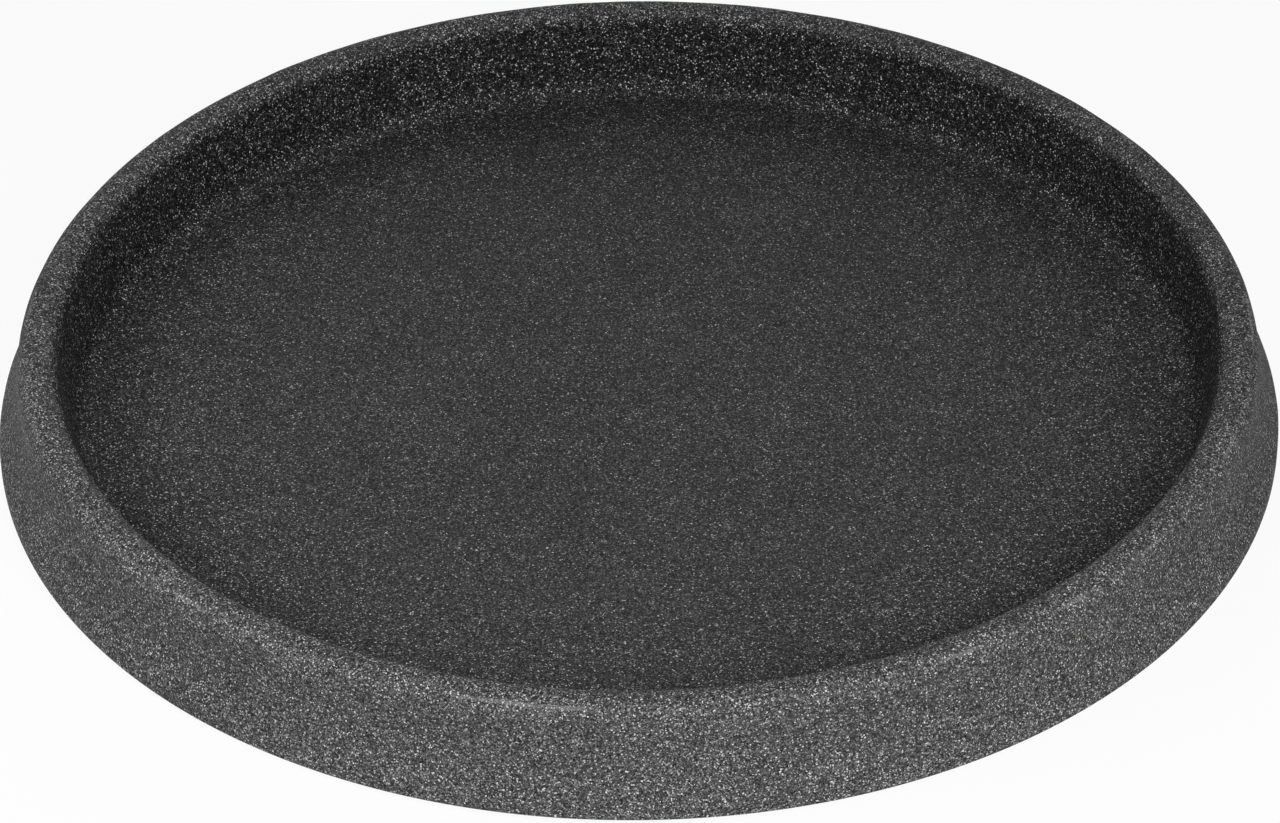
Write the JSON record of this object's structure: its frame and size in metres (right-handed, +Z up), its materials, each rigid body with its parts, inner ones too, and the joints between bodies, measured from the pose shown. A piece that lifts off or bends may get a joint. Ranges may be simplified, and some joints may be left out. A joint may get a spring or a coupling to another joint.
{
  "type": "plant saucer",
  "caption": "Round plant saucer with a flat floor, a low hollow rim with a rounded lip and a skirt swept out to a wider foot, standing on non-slip pads.",
  "frame": {"origin": "centre of the base on the ground, under the middle of the dish", "axes": "+Z up along the axis of the dish; X and Y level"},
  "size_m": [0.4, 0.4, 0.0355],
  "materials": {
    "granite_polyethylene": "rotationally moulded polyethylene, dark charcoal with fine pale granite speckle",
    "plug_polyethylene": "injection moulded polyethylene, plain black",
    "pad_rubber": "moulded black rubber, matt"
  },
  "bodies": {
    "root": {"saucer_shell": "granite_polyethylene", "vent_plug": "plug_polyethylene", "foot_pad_1": "pad_rubber", "foot_pad_2": "pad_rubber", "foot_pad_3": "pad_rubber", "foot_pad_4": "pad_rubber", "foot_pad_5": "pad_rubber", "foot_pad_6": "pad_rubber"}
  },
  "joints": []
}
